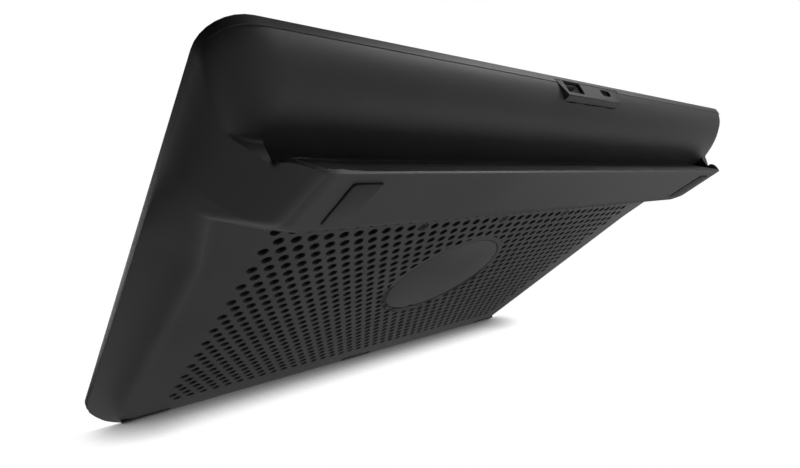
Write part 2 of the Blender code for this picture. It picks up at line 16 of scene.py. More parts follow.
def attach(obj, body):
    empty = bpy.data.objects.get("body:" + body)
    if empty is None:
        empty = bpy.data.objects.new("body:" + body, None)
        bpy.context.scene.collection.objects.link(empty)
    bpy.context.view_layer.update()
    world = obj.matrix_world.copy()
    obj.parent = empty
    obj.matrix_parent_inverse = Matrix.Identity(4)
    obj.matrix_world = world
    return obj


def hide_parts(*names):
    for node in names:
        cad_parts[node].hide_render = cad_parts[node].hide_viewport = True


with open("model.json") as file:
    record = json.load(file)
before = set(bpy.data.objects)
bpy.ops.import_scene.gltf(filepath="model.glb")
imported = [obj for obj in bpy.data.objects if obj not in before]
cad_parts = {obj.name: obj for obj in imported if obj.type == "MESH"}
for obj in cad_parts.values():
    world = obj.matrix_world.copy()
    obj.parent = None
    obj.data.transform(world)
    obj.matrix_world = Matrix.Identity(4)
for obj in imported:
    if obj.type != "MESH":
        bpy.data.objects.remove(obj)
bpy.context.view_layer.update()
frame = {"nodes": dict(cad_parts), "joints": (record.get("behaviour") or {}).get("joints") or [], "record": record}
NODES = frame["nodes"]

# Driving dimensions, in millimetres
PITCH = 8.0
RIM_HALF_WIDTH = 23.5 * PITCH
FLOOR_HALF_WIDTH = 21.4 * PITCH
FOOT_HALF_WIDTH = 20.4 * PITCH
FRONT_RIM = -15.9 * PITCH
FRONT_EDGE = -15.85 * PITCH
FOOT_FRONT = 11.4 * PITCH
FOOT_RAMP = 8.95 * PITCH
ROLL_START = 13.6 * PITCH
ROLL_CENTRE = 22.7
REAR = 17.75 * PITCH
LIP_TIP = 15.7 * PITCH
RIB_END = 14.72 * PITCH
FOOT_SLOPE = 0.0653
FOOT_AT_AXIS = -9.245
FOOT_DROP = 0.6
TOP_AT_AXIS = 19.1
TOP_SLOPE = 0.034
SKIRT = 3.9
COVER = 1.5
WALL = 2.2
SEAM = 0.3
RIM_SEAM = 0.1
ABOVE_SEAM = 25.0
FRONT_HEIGHT = 8.0
BLEND_START = 6.0 * PITCH
LIP_BEND_START = 155.0
GROOVE_FLOOR_SLOPE = 1.05
WALL_THIN, WALL_GAIN = 0.9, 0.9
WALL_GAIN_START, WALL_GAIN_LENGTH = 146.0, 10.0
BODY_FRONT_FILLET = 2.3
FOOT_EDGE_FILLET = 3.0
SMALL_FILLET = 0.8
GROOVE_HALF_WIDTH = 21.45 * PITCH
CORNER_REAR = 14.0
CORNER_FRONT = 16.0
HUB_COVER_RADIUS = 5.0 * PITCH
HUB_RING_RADIUS = 5.5 * PITCH
HOLE_RADIUS = 0.3 * PITCH
CASE_SCREWS_IN_GRILLE = [(x, 9 * PITCH * math.sqrt(3) / 2) for x in (-8 * PITCH, 0.0, 8 * PITCH)]
FRONT_FEET = {"left": -19.7 * PITCH, "centre": 0.0, "right": 19.7 * PITCH}
FRONT_FOOT = {"length": 28.0, "depth": 4.6, "y": -122.4}
REAR_PAD = {"x": 142.6, "y": 108.4, "width": 12.2, "length": 24.0}
PAD_POCKET = 1.5
STOP = {"length": 60.0, "width": 8.0, "height": 3.0, "x": 90.0, "y": -115.0}
STOP_POCKET = 0.6
FAN_SCREW_RADIUS = 61.5
SCREW_HOLE = 1.8
SCREW_HEAD = 3.0
PAD_SCREW_FORWARD = 7.5
BOARD_Y = 126.0
BOARD_SCREWS = ((-21.2, 17.1), (0.5, 17.1))
BEZEL = {"half_width": 24.0, "low": 12.8, "high": 21.5, "flare": 4.8}
USB_A = {"x": 15.6, "z": 18.2, "width": 13.1, "height": 5.7, "depth": 13.6, "wall": 0.4, "corner": 0.7}
MICRO_USB = {"x": -14.0, "z": 18.2, "width": 7.8, "height": 3.0, "depth": 5.6, "wall": 0.35, "corner": 0.9}

SPIN = frame["joints"][0]
SPIN_HEIGHT = 9.6
TILT = math.atan2(-SPIN["axis"][1], SPIN["axis"][2])
SPIN_POINT = Vector(SPIN["pos_m"])
STAND = (
    Matrix.Translation(SPIN_POINT)
    @ Matrix.Rotation(TILT, 4, "X")
    @ Matrix.Translation((0.0, 0.0, -SPIN_HEIGHT / 1000))
)
PAD = STAND @ Matrix.Scale(0.001, 4)


def top_height(y):
    """Height of the laptop rest above the floor's underside."""
    return TOP_AT_AXIS + TOP_SLOPE * y


def foot_bottom(y):
    """Height of the rear foot's underside."""
    return FOOT_AT_AXIS - FOOT_SLOPE * y


DESK_SLOPE = -foot_bottom(REAR_PAD["y"]) / (REAR_PAD["y"] - FRONT_FOOT["y"])


def desk_height(y):
    """Height of the desk, which the rubber feet reach."""
    return -FOOT_DROP - DESK_SLOPE * (y - FRONT_FOOT["y"])


# ---------------------------------------------------------------- camera, light and floor

LIGHT_SIZE = 0.7
LIGHT_DISTANCE = 1.3
AMBIENT = 0.002
# Name, azimuth and elevation in degrees, and power in watts
LIGHTS = (
    ("low_252", 252, -20, 7.0),
    ("high_270", 270, 30, 7.62),
    ("high_135", 135, 30, 5.82),
    ("steep_180", 180, -45, 6.8),
    ("low_216", 216, -20, 3.5),
    ("low_108", 108, -20, 3.0),
    ("steep_315", 315, -45, 3.0),
    ("level_144", 144, 5, 0.87),
    ("high_315", 315, 30, 0.53),
)
# Painted contact shadow on the backdrop: how far ambient occlusion reaches, and how it maps to the sheet's glow
PAINTED_SHADOW_REACH = 0.026
PAINTED_SHADOW_FROM = 0.1
PAINTED_SHADOW_TO = 0.8
PAINTED_SHADOW_DARKEST = 0.08
DESK_HALF = 3.0
SHEET_START = (-127.8, 1.75)
SHEET_DIRECTION = (0.777, -0.63)
SHEET_REACH = 2500.0


def make_camera():
    data = bpy.data.cameras.new("camera")
    data.lens = 25.38939
    data.sensor_width = 36.0
    data.shift_x = -0.0386733
    data.shift_y = 0.0939064
    data.clip_start = 0.01
    camera = bpy.data.objects.new("camera", data)
    camera.matrix_world = STAND @ Matrix(
        (
            (-0.706224, -0.170563, 0.687136, 0.259167),
            (0.549670, 0.479607, 0.683989, 0.235006),
            (-0.446217, 0.860748, -0.244956, -0.104427),
            (0.0, 0.0, 0.0, 1.0),
        )
    )
    bpy.context.scene.collection.objects.link(camera)
    bpy.context.scene.camera = camera


def soft_light(name, azimuth, elevation, power):
    """A round soft light that looks at the pad from the given direction, in degrees."""
    data = bpy.data.lights.new(name, "AREA")
    data.shape = "DISK"
    data.size = LIGHT_SIZE
    data.energy = power
    light = bpy.data.objects.new(name, data)
    level = math.cos(math.radians(elevation))
    away = Vector(
        (
            level * math.cos(math.radians(azimuth)),
            level * math.sin(math.radians(azimuth)),
            math.sin(math.radians(elevation)),
        )
    )
    light.location = away * LIGHT_DISTANCE
    light.rotation_euler = away.to_track_quat("Z", "Y").to_euler()
    bpy.context.scene.collection.objects.link(light)


def make_world():
    world = bpy.data.worlds.new("studio")
    world.use_nodes = True
    nodes, links = world.node_tree.nodes, world.node_tree.links
    ambient = nodes["Background"]
    ambient.inputs["Strength"].default_value = AMBIENT
    backdrop = nodes.new("ShaderNodeBackground")
    backdrop.inputs["Color"].default_value = (1.0, 1.0, 1.0, 1.0)
    backdrop.inputs["Strength"].default_value = 1.0
    ambient.inputs["Color"].default_value = (1.0, 1.0, 1.0, 1.0)
    rays = nodes.new("ShaderNodeLightPath")
    mix = nodes.new("ShaderNodeMixShader")
    links.new(rays.outputs["Is Camera Ray"], mix.inputs["Fac"])
    links.new(ambient.outputs[0], mix.inputs[1])
    links.new(backdrop.outputs[0], mix.inputs[2])
    links.new(mix.outputs[0], nodes["World Output"].inputs["Surface"])
    bpy.context.scene.world = world
    bpy.context.scene.view_settings.view_transform = "Standard"


def make_stage():
    """A pale desk that is only seen from above, so that it doesn't hide the underside from a low camera."""
    half = DESK_HALF
    mesh = bpy.data.meshes.new("desk")
    corners = [(-half, -half, 0), (half, -half, 0), (half, half, 0), (-half, half, 0)]
    mesh.from_pydata(corners, [], [(0, 1, 2, 3)])
    material = bpy.data.materials.new("desk")
    material.use_nodes = True
    nodes, links = material.node_tree.nodes, material.node_tree.links
    shader = nodes["Principled BSDF"]
    shader.inputs["Base Color"].default_value = (0.86, 0.86, 0.86, 1.0)
    shader.inputs["Roughness"].default_value = 0.7
    side = nodes.new("ShaderNodeNewGeometry")
    clear = nodes.new("ShaderNodeBsdfTransparent")
    mix = nodes.new("ShaderNodeMixShader")
    links.new(side.outputs["Backfacing"], mix.inputs["Fac"])
    links.new(shader.outputs[0], mix.inputs[1])
    links.new(clear.outputs[0], mix.inputs[2])
    links.new(mix.outputs[0], nodes["Material Output"].inputs["Surface"])
    mesh.materials.append(material)
    desk = bpy.data.objects.new("desk", mesh)
    desk.visible_shadow = False
    bpy.context.scene.collection.objects.link(desk)


def make_backdrop():
    """A white glowing sheet that meets the front edge from below, with a painted shadow of the pad there: ambient
    occlusion dims its glow; the lamps cast no shadow on it.
    """
    mesh = bpy.data.meshes.new("backdrop")
    end = tuple(at + way * SHEET_REACH for at, way in zip(SHEET_START, SHEET_DIRECTION))
    low, high = -SHEET_REACH, SHEET_REACH
    corners = [(low, *SHEET_START), (high, *SHEET_START), (high, *end), (low, *end)]
    mesh.from_pydata(corners, [], [(0, 1, 2, 3)])
    mesh.transform(PAD)
    material = bpy.data.materials.new("backdrop")
    material.use_nodes = True
    nodes, links = material.node_tree.nodes, material.node_tree.links
    # Painted shadow: ambient occlusion from the pad dims the sheet's glow near the front edge
    near = nodes.new("ShaderNodeAmbientOcclusion")
    near.samples = 16
    near.inputs["Distance"].default_value = PAINTED_SHADOW_REACH
    shade = nodes.new("ShaderNodeMapRange")
    shade.inputs["From Min"].default_value = PAINTED_SHADOW_FROM
    shade.inputs["From Max"].default_value = PAINTED_SHADOW_TO
    shade.inputs["To Min"].default_value = PAINTED_SHADOW_DARKEST
    shade.inputs["To Max"].default_value = 1.0
    glow = nodes.new("ShaderNodeEmission")
    side = nodes.new("ShaderNodeNewGeometry")
    rays = nodes.new("ShaderNodeLightPath")
    clear = nodes.new("ShaderNodeBsdfTransparent")
    seen = nodes.new("ShaderNodeMath")
    seen.operation = "SUBTRACT"
    seen.use_clamp = True
    mix = nodes.new("ShaderNodeMixShader")
    links.new(near.outputs["AO"], shade.inputs["Value"])
    links.new(shade.outputs["Result"], glow.inputs["Strength"])
    links.new(rays.outputs["Is Camera Ray"], seen.inputs[0])
    links.new(side.outputs["Backfacing"], seen.inputs[1])
    links.new(seen.outputs[0], mix.inputs["Fac"])
    links.new(clear.outputs[0], mix.inputs[1])
    links.new(glow.outputs[0], mix.inputs[2])
    links.new(mix.outputs[0], nodes["Material Output"].inputs["Surface"])
    mesh.materials.append(material)
    backdrop = bpy.data.objects.new("backdrop", mesh)
    backdrop.visible_shadow = False
    bpy.context.scene.collection.objects.link(backdrop)


# ---------------------------------------------------------------- materials


def moulded(name, colour, roughness, grain=0.35, strength=0.25, mottle=0.12, metallic=0.0):
    """A material with slow colour and gloss variation and a fine moulded or cast grain, in millimetres."""
    material = bpy.data.materials.new(name)
    material.use_nodes = True
    nodes, links = material.node_tree.nodes, material.node_tree.links
    shader = nodes["Principled BSDF"]
    shader.inputs["Metallic"].default_value = metallic
    place = nodes.new("ShaderNodeTexCoord")
    slow = nodes.new("ShaderNodeTexNoise")
    slow.inputs["Scale"].default_value = 30.0
    slow.inputs["Detail"].default_value = 4.0
    links.new(place.outputs["Object"], slow.inputs["Vector"])
    tone = nodes.new("ShaderNodeValToRGB")
    darker = [channel * (1 - mottle) for channel in colour]
    lighter = [min(channel * (1 + mottle), 1.0) for channel in colour]
    tone.color_ramp.elements[0].color = (*darker, 1.0)
    tone.color_ramp.elements[1].color = (*lighter, 1.0)
    tone.color_ramp.elements[0].position = 0.3
    tone.color_ramp.elements[1].position = 0.7
    links.new(slow.outputs["Fac"], tone.inputs["Fac"])
    links.new(tone.outputs["Color"], shader.inputs["Base Color"])
    gloss = nodes.new("ShaderNodeMapRange")
    gloss.inputs["To Min"].default_value = roughness - 0.04
    gloss.inputs["To Max"].default_value = roughness + 0.04
    links.new(slow.outputs["Fac"], gloss.inputs["Value"])
    links.new(gloss.outputs["Result"], shader.inputs["Roughness"])
    fine = nodes.new("ShaderNodeTexNoise")
    fine.inputs["Scale"].default_value = 1000.0 / grain
    fine.inputs["Detail"].default_value = 2.0
    links.new(place.outputs["Object"], fine.inputs["Vector"])
    bump = nodes.new("ShaderNodeBump")
    bump.inputs["Strength"].default_value = strength
    bump.inputs["Distance"].default_value = 0.00002
    links.new(fine.outputs["Fac"], bump.inputs["Height"])
    links.new(bump.outputs["Normal"], shader.inputs["Normal"])
    return material


SHELL = moulded("shell_plastic_fine_texture", (0.024, 0.024, 0.025), 0.5)
# A darker copy of the shell plastic for the port block: painted shade, its colour lowered so the block's rear face
# looks less lit; it is also a little rougher
SHELL_COPY_WITH_PAINTED_SHADE = moulded("port_bezel_painted_shade", (0.013, 0.013, 0.0135), 0.58)
FAN_BLACK = moulded("fan_plastic_smooth", (0.018, 0.018, 0.018), 0.36, grain=0.8, strength=0.1)
RUBBER = moulded("foot_rubber_matte", (0.006, 0.006, 0.006), 0.8, grain=0.5, strength=0.5, mottle=0.2)
STEEL = moulded("nickel_steel", (0.6, 0.6, 0.61), 0.28, grain=0.6, strength=0.1, mottle=0.06, metallic=1.0)
BRONZE = moulded("sintered_bronze", (0.62, 0.42, 0.18), 0.4, grain=0.3, strength=0.4, metallic=1.0)
FERRITE = moulded("bonded_ferrite", (0.05, 0.05, 0.055), 0.6, grain=0.3, strength=0.3)
COPPER = moulded("enamelled_copper", (0.72, 0.32, 0.14), 0.32, grain=0.5, strength=0.4, metallic=1.0)
BOARD = moulded("solder_mask_green", (0.02, 0.13, 0.05), 0.4, grain=1.5, strength=0.3, mottle=0.2)
NYLON = moulded("off_white_nylon", (0.75, 0.74, 0.7), 0.45, grain=0.6, strength=0.15, mottle=0.04)
GOLD = moulded("plated_contacts", (0.9, 0.82, 0.6), 0.22, grain=0.6, strength=0.1, mottle=0.05, metallic=1.0)
BLACK_STEEL = moulded("black_zinc_screw", (0.03, 0.03, 0.032), 0.35, grain=0.5, strength=0.2, metallic=0.6)
CONTACT = moulded("black_glass_filled", (0.02, 0.02, 0.02), 0.45, grain=0.4)
SLOT_MATERIAL = {
    "shell_plastic": SHELL,
    "fan_plastic": FAN_BLACK,
    "foot_rubber": RUBBER,
    "steel": STEEL,
    "bronze": BRONZE,
    "magnet": FERRITE,
    "coil_wire": COPPER,
    "circuit_board": BOARD,
    "white_insulation": NYLON,
    "contact_plastic": CONTACT,
}


def dress_cad_nodes():
    """Gives each CAD node the detailed material of its slot."""
    for part in frame["record"]["subparts"]:
        data = NODES[part["node"]].data
        data.materials.clear()
        blackened = part["node"].startswith("case_screw")
        data.materials.append(BLACK_STEEL if blackened else SLOT_MATERIAL[part["material_slot"]])


# ---------------------------------------------------------------- mesh helpers


def new_object(name, mesh, material, sharp=35.0):
    """An object from a mesh in the pad's frame, turned into the model's frame and shaded smooth."""
    mesh.transform(PAD)
    mesh.materials.clear()
    mesh.materials.append(material)
    mesh.shade_smooth()
    mesh.set_sharp_from_angle(angle=math.radians(sharp))
    obj = bpy.data.objects.new(name, mesh)
    bpy.context.scene.collection.objects.link(obj)
    return obj


def mesh_of(pieces):
    """One mesh from closed pieces, each a (points, faces) pair."""
    work = bmesh.new()
    for points, faces in pieces:
        corners = [work.verts.new(point) for point in points]
        for face in faces:
            work.faces.new([corners[index] for index in face])
    bmesh.ops.recalc_face_normals(work, faces=work.faces)
    mesh = bpy.data.meshes.new("shape")
    work.to_mesh(mesh)
    work.free()
    return mesh


def combine(mesh, operation, pieces):
    """The mesh after a Boolean with closed pieces that don't touch each other."""
    target = bpy.data.objects.new("target", mesh)
    tool = bpy.data.objects.new("tool", mesh_of(pieces))
    for obj in (target, tool):
        bpy.context.scene.collection.objects.link(obj)
    modifier = target.modifiers.new("combine", "BOOLEAN")
    modifier.operation, modifier.solver, modifier.object = operation, "MANIFOLD", tool
    graph = bpy.context.evaluated_depsgraph_get()
    result = bpy.data.meshes.new_from_object(target.evaluated_get(graph))
    for obj in (target, tool):
        data = obj.data
        bpy.data.objects.remove(obj)
        bpy.data.meshes.remove(data)
    return result


def loft(rings):
    """A closed piece through rings that have equally many points."""
    count = len(rings[0])
    points = [point for ring in rings for point in ring]
    faces = [tuple(range(count)), tuple(range(len(points) - count, len(points)))]
    for level in range(len(rings) - 1):
        low, high = level * count, (level + 1) * count
        for index in range(count):
            following = (index + 1) % count
            faces.append((low + index, low + following, high + following, high + index))
    return points, faces


def circle(radius, sides, centre=(0.0, 0.0), turn=0.0):
    steps = [turn + math.tau * index / sides for index in range(sides)]
    return [(centre[0] + radius * math.cos(a), centre[1] + radius * math.sin(a)) for a in steps]


def turned(profile, sides, centre=(0.0, 0.0)):
    """A round piece about a vertical line, from (radius, height) points."""
    return loft([[(x, y, z) for x, y in circle(radius, sides, centre)] for radius, z in profile])


def rectangle(half_x, low_y, high_y, radius_low, radius_high, inset=0.0, steps=8):
    """Plan outline of a rectangle with round corners, moved inwards by the inset."""
    outline = []
    corners = (
        (1, 1, radius_high, 0),
        (-1, 1, radius_high, 90),
        (-1, -1, radius_low, 180),
        (1, -1, radius_low, 270),
    )
    for side, end, radius, start in corners:
        centre_x = side * (half_x - radius)
        centre_y = high_y - radius if end > 0 else low_y + radius
        for step in range(steps + 1):
            angle = math.radians(start + 90 * step / steps)
            reach = max(radius - inset, 0.05)
            outline.append((centre_x + reach * math.cos(angle), centre_y + reach * math.sin(angle)))
    return outline


def stack(outline, levels):
    """A piece from a plan outline at several (inset, height) levels; a height may be a function of y."""
    rings = []
    for inset, height in levels:
        at = height if callable(height) else lambda y, level=height: level
        rings.append([(x, y, at(y)) for x, y in outline(inset)])
    return loft(rings)


def box(low, high):
    (x0, y0, z0), (x1, y1, z1) = low, high
    return loft([[(x0, y0, z), (x1, y0, z), (x1, y1, z), (x0, y1, z)] for z in (z0, z1)])


# ---------------------------------------------------------------- lower shell

FAN_SCREWS = circle(FAN_SCREW_RADIUS, 4, turn=math.radians(45))


def smooth_max(a, b, width):
    """The larger of two distances, with the edge between them rounded over the width."""
    share = np.clip(0.5 + 0.5 * (a - b) / width, 0.0, 1.0)
    return b + (a - b) * share + width * share * (1.0 - share)


def smooth_min(a, b, width):
    return -smooth_max(-a, -b, width)


def plan_distance(x, y):
    """Distance outside the shell's plan: a rectangle with round corners."""
    radius = np.where(y > 0, CORNER_REAR, CORNER_FRONT)
    away_x = np.abs(x) - RIM_HALF_WIDTH + radius
    away_y = np.where(y > 0, y - REAR, FRONT_RIM - y) + radius
    outside = np.hypot(np.maximum(away_x, 0.0), np.maximum(away_y, 0.0))
    return outside + np.minimum(np.maximum(away_x, away_y), 0.0) - radius


def flank_distance(x, y, z):
    """Distance outside the flanks, which lean in from the rim to the floor, or further in to the foot."""
    rim = top_height(y) - SKIRT
    blend = np.clip((y - BLEND_START) / (FOOT_FRONT - BLEND_START), 0.0, 1.0)
    base = blend * foot_bottom(FOOT_FRONT)
    inset = RIM_HALF_WIDTH - FLOOR_HALF_WIDTH + blend * (FLOOR_HALF_WIDTH - FOOT_HALF_WIDTH)
    share = np.maximum((rim - z) / (rim - base), 0.0)
    return (np.abs(x) - RIM_HALF_WIDTH + share ** (1.0 + 0.8 * blend) * inset) * 0.76


def body_distance(x, y, z):
    """Distance outside the shell without its foot."""
    across = np.maximum((y - ROLL_START) / (REAR - ROLL_START), 0.0)
    up = np.minimum(z - ROLL_CENTRE, 0.0) / ROLL_CENTRE
    ratio = np.hypot(across, up)
    steepness = np.hypot(across / (REAR - ROLL_START), up / ROLL_CENTRE) / np.maximum(ratio, 1e-6)
    under = (ratio - 1.0) / np.maximum(steepness, 1.0 / (REAR - ROLL_START))
    front = (FRONT_EDGE - y) - (z / FRONT_HEIGHT) * (FRONT_EDGE - FRONT_RIM)
    rear = np.clip((y - RIB_END) / (2.2 * PITCH), 0.0, 1.0)
    body = smooth_max(flank_distance(x, y, z), under, 5.0 + 9.0 * rear)
    body = smooth_max(body, front, BODY_FRONT_FILLET)
    return np.maximum(body, plan_distance(x, y))


def foot_form(x, y, z):
    """Distance outside the foot's flanks and bottom, before its ends and groove are cut."""
    return smooth_max(flank_distance(x, y, z), foot_bottom(y) - z, FOOT_EDGE_FILLET)


def foot_distance(x, y, z):
    """Distance outside the foot, with the cable groove behind it."""
    form = foot_form(x, y, z)
    ramp_y = FOOT_RAMP + 0.4 * np.maximum(np.abs(x) - 19.2 * PITCH, 0.0)
    ramp = 0.61 * (ramp_y - y) - 0.79 * z
    along = np.clip((np.abs(x) - LIP_BEND_START) / (GROOVE_HALF_WIDTH - LIP_BEND_START), 0.0, 1.0)
    lip = RIB_END + (LIP_TIP - RIB_END) * np.sqrt(1.0 - along**2)
    foot = np.maximum(smooth_max(form, ramp, 2.0), y - lip)
    thick = WALL_THIN + WALL_GAIN * np.clip((np.abs(x) - WALL_GAIN_START) / WALL_GAIN_LENGTH, 0.0, 1.0)
    wall = foot_bottom(y) + thick + GROOVE_FLOOR_SLOPE * np.maximum(lip - y, 0.0) - z
    groove = np.maximum(np.maximum(wall, form + thick), ROLL_START - y)
    groove = np.maximum(groove, np.abs(x) - GROOVE_HALF_WIDTH)
    return np.maximum(foot, -groove)


def shell_distance(x, y, z):
    fillet = SMALL_FILLET * np.clip(-flank_distance(x, y, z) / 4.0, 0.02, 1.0)
    return np.maximum(smooth_min(body_distance(x, y, z), foot_distance(x, y, z), fillet), z - ABOVE_SEAM)


def cavity_distance(x, y, z):
    return np.maximum(body_distance(x, y, z) + WALL, z - ABOVE_SEAM - 2.0)


def steps_between(*stretches):
    """Grid lines from (start, end, spacing) stretches that follow each other."""
    lines = [stretches[0][0]]
    for start, end, spacing in stretches:
        count = max(round((end - start) / spacing), 1)
        lines += [start + (end - start) * (step + 1) / count for step in range(count)]
    return np.array(lines)


def gradient(field, points, reach=0.02):
    slopes = []
    for axis in range(3):
        move = np.zeros(3)
        move[axis] = reach
        slopes.append((field(*(points + move).T) - field(*(points - move).T)) / (2 * reach))
    return np.stack(slopes, axis=1)


def corner_points(middle, normals_squared, pulls):
    """The point of each cell that lies best on the planes which cross it, and near their middle."""
    weight = 0.03 * np.trace(normals_squared, axis1=1, axis2=2)
    system = normals_squared + weight[:, None, None] * np.eye(3)
    target = pulls - np.einsum("nij,nj->ni", normals_squared, middle)
    return middle + np.linalg.solve(system, target[..., None])[..., 0]


def contour(field, lines):
    """A closed mesh round the region where the field is negative, by dual contouring."""
    grid = np.meshgrid(*lines, indexing="ij")
    values = field(*grid)
    cells = tuple(len(line) - 1 for line in lines)
    total, count = np.zeros((*cells, 3)), np.zeros(cells)
    squares, pulls = np.zeros((*cells, 3, 3)), np.zeros((*cells, 3))
    crossings = []
    for axis in range(3):
        near = tuple(slice(None, -1) if a == axis else slice(None) for a in range(3))
        far = tuple(slice(1, None) if a == axis else slice(None) for a in range(3))
        start, end = values[near], values[far]
        index = np.argwhere((start < 0) != (end < 0))
        at = tuple(index.T)
        share = (start[at] / (start[at] - end[at]))[:, None]
        low, high = (np.stack([g[side][at] for g in grid], axis=1) for side in (near, far))
        place = low + share * (high - low)
        normal = gradient(field, place)
        normal /= np.linalg.norm(normal, axis=1, keepdims=True)
        first, second = [a for a in range(3) if a != axis]
        ring = []
        for a, b in ((0, 0), (1, 0), (1, 1), (0, 1)):
            cell = index.copy()
            cell[:, first] -= a
            cell[:, second] -= b
            cell = tuple(cell.T)
            ring.append(cell)
            np.add.at(total, cell, place)
            np.add.at(count, cell, 1)
            np.add.at(squares, cell, normal[:, :, None] * normal[:, None, :])
            np.add.at(pulls, cell, normal * (normal * place).sum(1, keepdims=True))
        crossings.append((ring, (start[at] < 0) ^ (axis == 1)))
    used = count > 0
    number = np.full(cells, -1)
    number[used] = np.arange(used.sum())
    corner = np.argwhere(used)
    low = np.stack([line[corner[:, a]] for a, line in enumerate(lines)], axis=1)
    high = np.stack([line[corner[:, a] + 1] for a, line in enumerate(lines)], axis=1)
    points = corner_points(total[used] / count[used][:, None], squares[used], pulls[used])
    points = np.clip(points, low, high)
    faces = []
    for ring, flip in crossings:
        quads = np.stack([number[cell] for cell in ring], axis=1)
        quads[flip] = quads[flip][:, ::-1]
        faces.append(quads)
    mesh = bpy.data.meshes.new("shape")
    mesh.from_pydata(points.tolist(), [], np.concatenate(faces).tolist())
    mesh.update()
    return mesh


def grille_holes():
    """Centres of the air holes in the floor: a triangular grid, clear of the hub cover and the case screws."""
    row_step = PITCH * math.sqrt(3) / 2
    sites = []
    for row in range(-15, 11):
        shift = 0.5 if row % 2 == 0 else 0.0
        for column in range(-19, 19 if shift else 20):
            x, y = (column + shift) * PITCH, row * row_step
            if abs(x) > 18.5 * PITCH or (not shift and abs(x) > 18 * PITCH):
                continue
            if math.hypot(x, y) < HUB_RING_RADIUS - HOLE_RADIUS:
                continue
            if all(math.dist((x, y), screw) > 0.6 * PITCH for screw in CASE_SCREWS_IN_GRILLE):
                sites.append((x, y))
    return sites


def shell_lines():
    return (
        steps_between((-190, -150, 0.8), (-150, 150, 7.0), (150, 190, 0.8)),
        steps_between((-130, -118, 0.9), (-118, 60, 5.0), (60, 90, 1.5), (90, 145, 0.9)),
        steps_between((-22, 27, 0.85)),
    )


def cavity_lines():
    return (
        steps_between((-190, -160, 2.0), (-160, 160, 10.0), (160, 190, 2.0)),
        steps_between((-130, -115, 2.0), (-115, 100, 8.0), (100, 145, 2.0)),
        steps_between((0, 30, 1.5)),
    )


def seam_plane(y):
    return top_height(y) - SKIRT - RIM_SEAM


def build_lower_shell():
    mesh = contour(shell_distance, shell_lines())
    cavity = contour(cavity_distance, cavity_lines())
    points = [tuple(vertex.co) for vertex in cavity.vertices]
    faces = [tuple(face.vertices) for face in cavity.polygons]
    mesh = combine(mesh, "DIFFERENCE", [(points, faces)])
    beyond = [(-250, -250), (250, -250), (250, 250), (-250, 250)]
    above = stack(lambda inset: beyond, ((0, seam_plane), (0, 90.0)))
    mesh = combine(mesh, "DIFFERENCE", [above])
    flare, wide = 0.2, HOLE_RADIUS + 0.15
    profile = ((wide, -2.0), (wide, -0.01), (HOLE_RADIUS, flare), (HOLE_RADIUS, WALL + 1.0))
    holes = [turned(profile, 16, site) for site in grille_holes()]
    seat = ((SCREW_HEAD, -2.0), (SCREW_HEAD, 1.3), (SCREW_HOLE, 1.31))
    holes += [turned((*seat, (SCREW_HOLE, 4.0)), 20, site) for site in CASE_SCREWS_IN_GRILLE]
    mesh = combine(mesh, "DIFFERENCE", holes)
    ring = turned(((HUB_RING_RADIUS, 0.0), (HUB_RING_RADIUS, WALL + 1.0)), 96)
    bosses = [turned(((4.5, 1.0), (4.5, 3.4)), 24, site) for site in FAN_SCREWS]
    bosses += [turned(((5.0, 0.4), (5.0, 3.3)), 24, site) for site in CASE_SCREWS_IN_GRILLE]
    mesh = combine(mesh, "UNION", [ring, *bosses])
    bores = [turned(((SCREW_HOLE, 1.2), (SCREW_HOLE, 9.0)), 16, site) for site in FAN_SCREWS]
    bores += [turned((*seat, (SCREW_HOLE, 9.0)), 24, site) for site in CASE_SCREWS_IN_GRILLE]
    mesh = combine(mesh, "DIFFERENCE", bores)
    recess = turned(((HUB_COVER_RADIUS + 0.5, -2.0), (HUB_COVER_RADIUS + 0.5, 1.5)), 96)
    mesh = combine(mesh, "DIFFERENCE", [recess])
    pockets = [foot_strip(x, SEAM, ((0.0, -3.0), (0.0, 1.0))) for x in FRONT_FEET.values()]
    for side in (-1, 1):
        pockets.append(rear_pad_piece(side, SEAM, ((0.0, -30.0), (0.0, lambda y: foot_bottom(y) + PAD_POCKET))))
        x, y = side * REAR_PAD["x"], REAR_PAD["y"] - PAD_SCREW_FORWARD
        level = foot_bottom(y) + 2.9
        head = ((SCREW_HEAD, level - 2.4), (SCREW_HEAD, level))
        well = (*head, (SCREW_HOLE, level + 0.01), (SCREW_HOLE, level + 8.0))
        pockets.append(turned(well, 24, (x, y)))
    pockets.append(port_block(SEAM, 133.0, 150.0))
    mesh = combine(mesh, "DIFFERENCE", pockets)
    shell = new_object("shell_lower", mesh, SHELL, sharp=38.0)
    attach(shell, "pad")
    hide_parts("lower_shell")


def rear_pad_piece(side, grow, levels):
    """A rear pad or its pocket, on the wedge-shaped foot."""
    half_x, half_y = REAR_PAD["width"] / 2 + grow, REAR_PAD["length"] / 2 + grow
    low_y, high_y = REAR_PAD["y"] - half_y, REAR_PAD["y"] + half_y

    def outline(inset):
        return [(side * REAR_PAD["x"] + x, y) for x, y in rectangle(half_x, low_y, high_y, 1.2, 1.2, inset, 4)]

    return stack(outline, levels)


def foot_strip(x, grow, levels):
    """A front foot or its pocket, along the front edge."""
    half_x, half_y = FRONT_FOOT["length"] / 2 + grow, FRONT_FOOT["depth"] / 2 + grow
    low_y, high_y = FRONT_FOOT["y"] - half_y, FRONT_FOOT["y"] + half_y

    def outline(inset):
        return [(x + across, y) for across, y in rectangle(half_x, low_y, high_y, 2.0, 2.0, inset, 6)]

    return stack(outline, levels)


def stop_piece(side, grow, levels):
    """A rubber strip that keeps the laptop from sliding, or its pocket in the cover."""
    half_x, half_y = STOP["length"] / 2 + grow, STOP["width"] / 2 + grow

    def outline(inset):
        plan = rectangle(half_x, STOP["y"] - half_y, STOP["y"] + half_y, 3.5, 3.5, inset, 6)
        return [(side * STOP["x"] + x, y) for x, y in plan]

    return stack(outline, levels)


